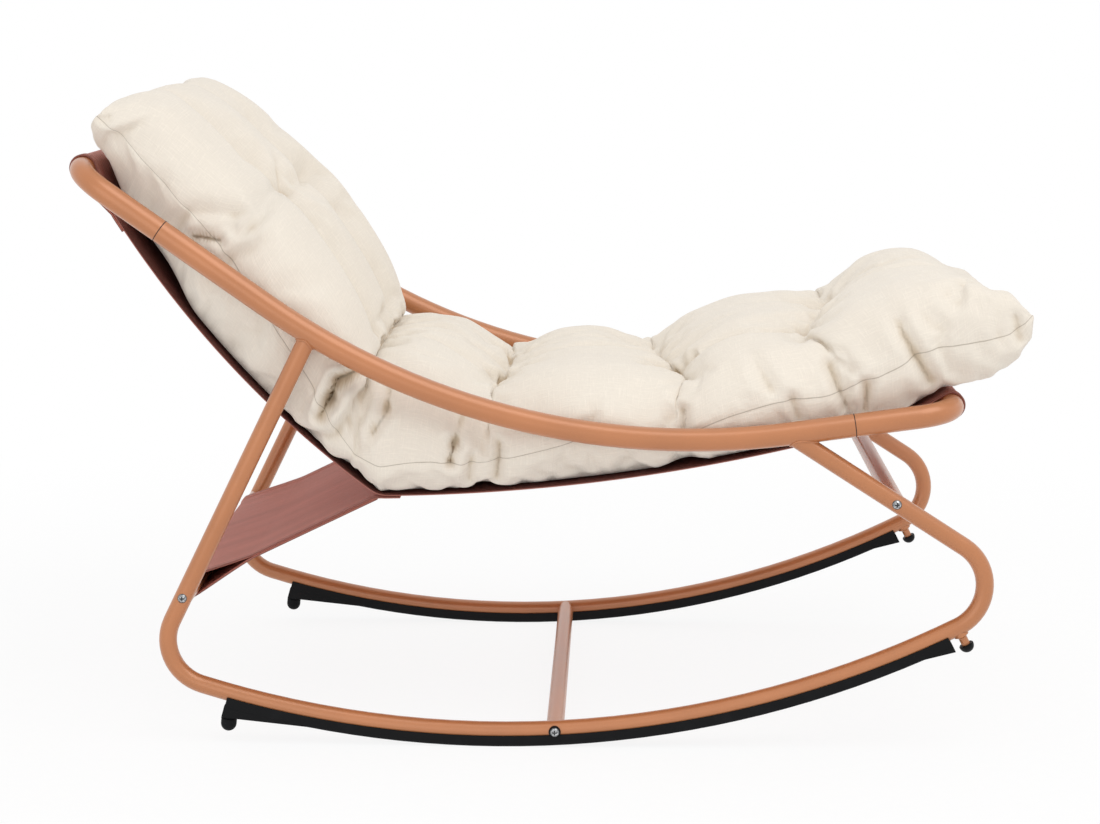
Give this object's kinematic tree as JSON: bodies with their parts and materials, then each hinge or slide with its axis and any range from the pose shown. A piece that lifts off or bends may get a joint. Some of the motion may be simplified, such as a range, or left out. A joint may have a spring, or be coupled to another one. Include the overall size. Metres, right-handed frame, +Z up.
{
  "type": "rocking lounge chair",
  "caption": "Rocking lounge chair with bent tube side frames on curved padded runners, a fabric sling hung between end bows and a long tufted cushion that lifts off.",
  "frame": {"origin": "on the floor under the middle of the chair's length and width", "axes": "+X from the head end to the foot end, +Y to the left side of a person who lies in it, +Z up"},
  "size_m": [1.3241, 0.6748, 0.899],
  "materials": {
    "frame_paint": "satin",
    "inner_steel": "satin",
    "screw_steel": "gloss",
    "black_rubber": "matte",
    "black_plastic": "satin",
    "sling_fabric": "matte",
    "cushion_fabric": "matte"
  },
  "bodies": {
    "frame": {"right_side_rail": "frame_paint", "left_side_rail": "frame_paint", "head_bow": "frame_paint", "foot_bow": "frame_paint", "right_head_joiner": "inner_steel", "left_head_joiner": "inner_steel", "right_foot_joiner": "inner_steel", "left_foot_joiner": "inner_steel", "right_rocker_tube": "frame_paint", "left_rocker_tube": "frame_paint", "rear_cross_tube": "frame_paint", "front_cross_tube": "frame_paint", "base_cross_tube": "frame_paint", "rear_cross_plugs": "inner_steel", "front_cross_plugs": "inner_steel", "base_cross_plugs": "inner_steel", "rear_screws": "screw_steel", "front_screws": "screw_steel", "base_screws": "screw_steel", "base_screw_washers": "black_plastic", "right_runner_pad": "black_rubber", "left_runner_pad": "black_rubber", "right_pad_screws": "screw_steel", "left_pad_screws": "screw_steel", "right_rear_bumper": "black_rubber", "left_rear_bumper": "black_rubber", "right_front_peg": "frame_paint", "left_front_peg": "frame_paint", "right_peg_cap": "black_rubber", "left_peg_cap": "black_rubber", "sling": "sling_fabric", "tie_panel": "sling_fabric"},
    "cushion": {"cushion": "cushion_fabric"}
  },
  "joints": [
    {"name": "cushion_lift_off", "type": "slide", "parent": "frame", "child": "cushion", "axis": [0, 0, 1], "range_m": [0, 0.35]}
  ]
}
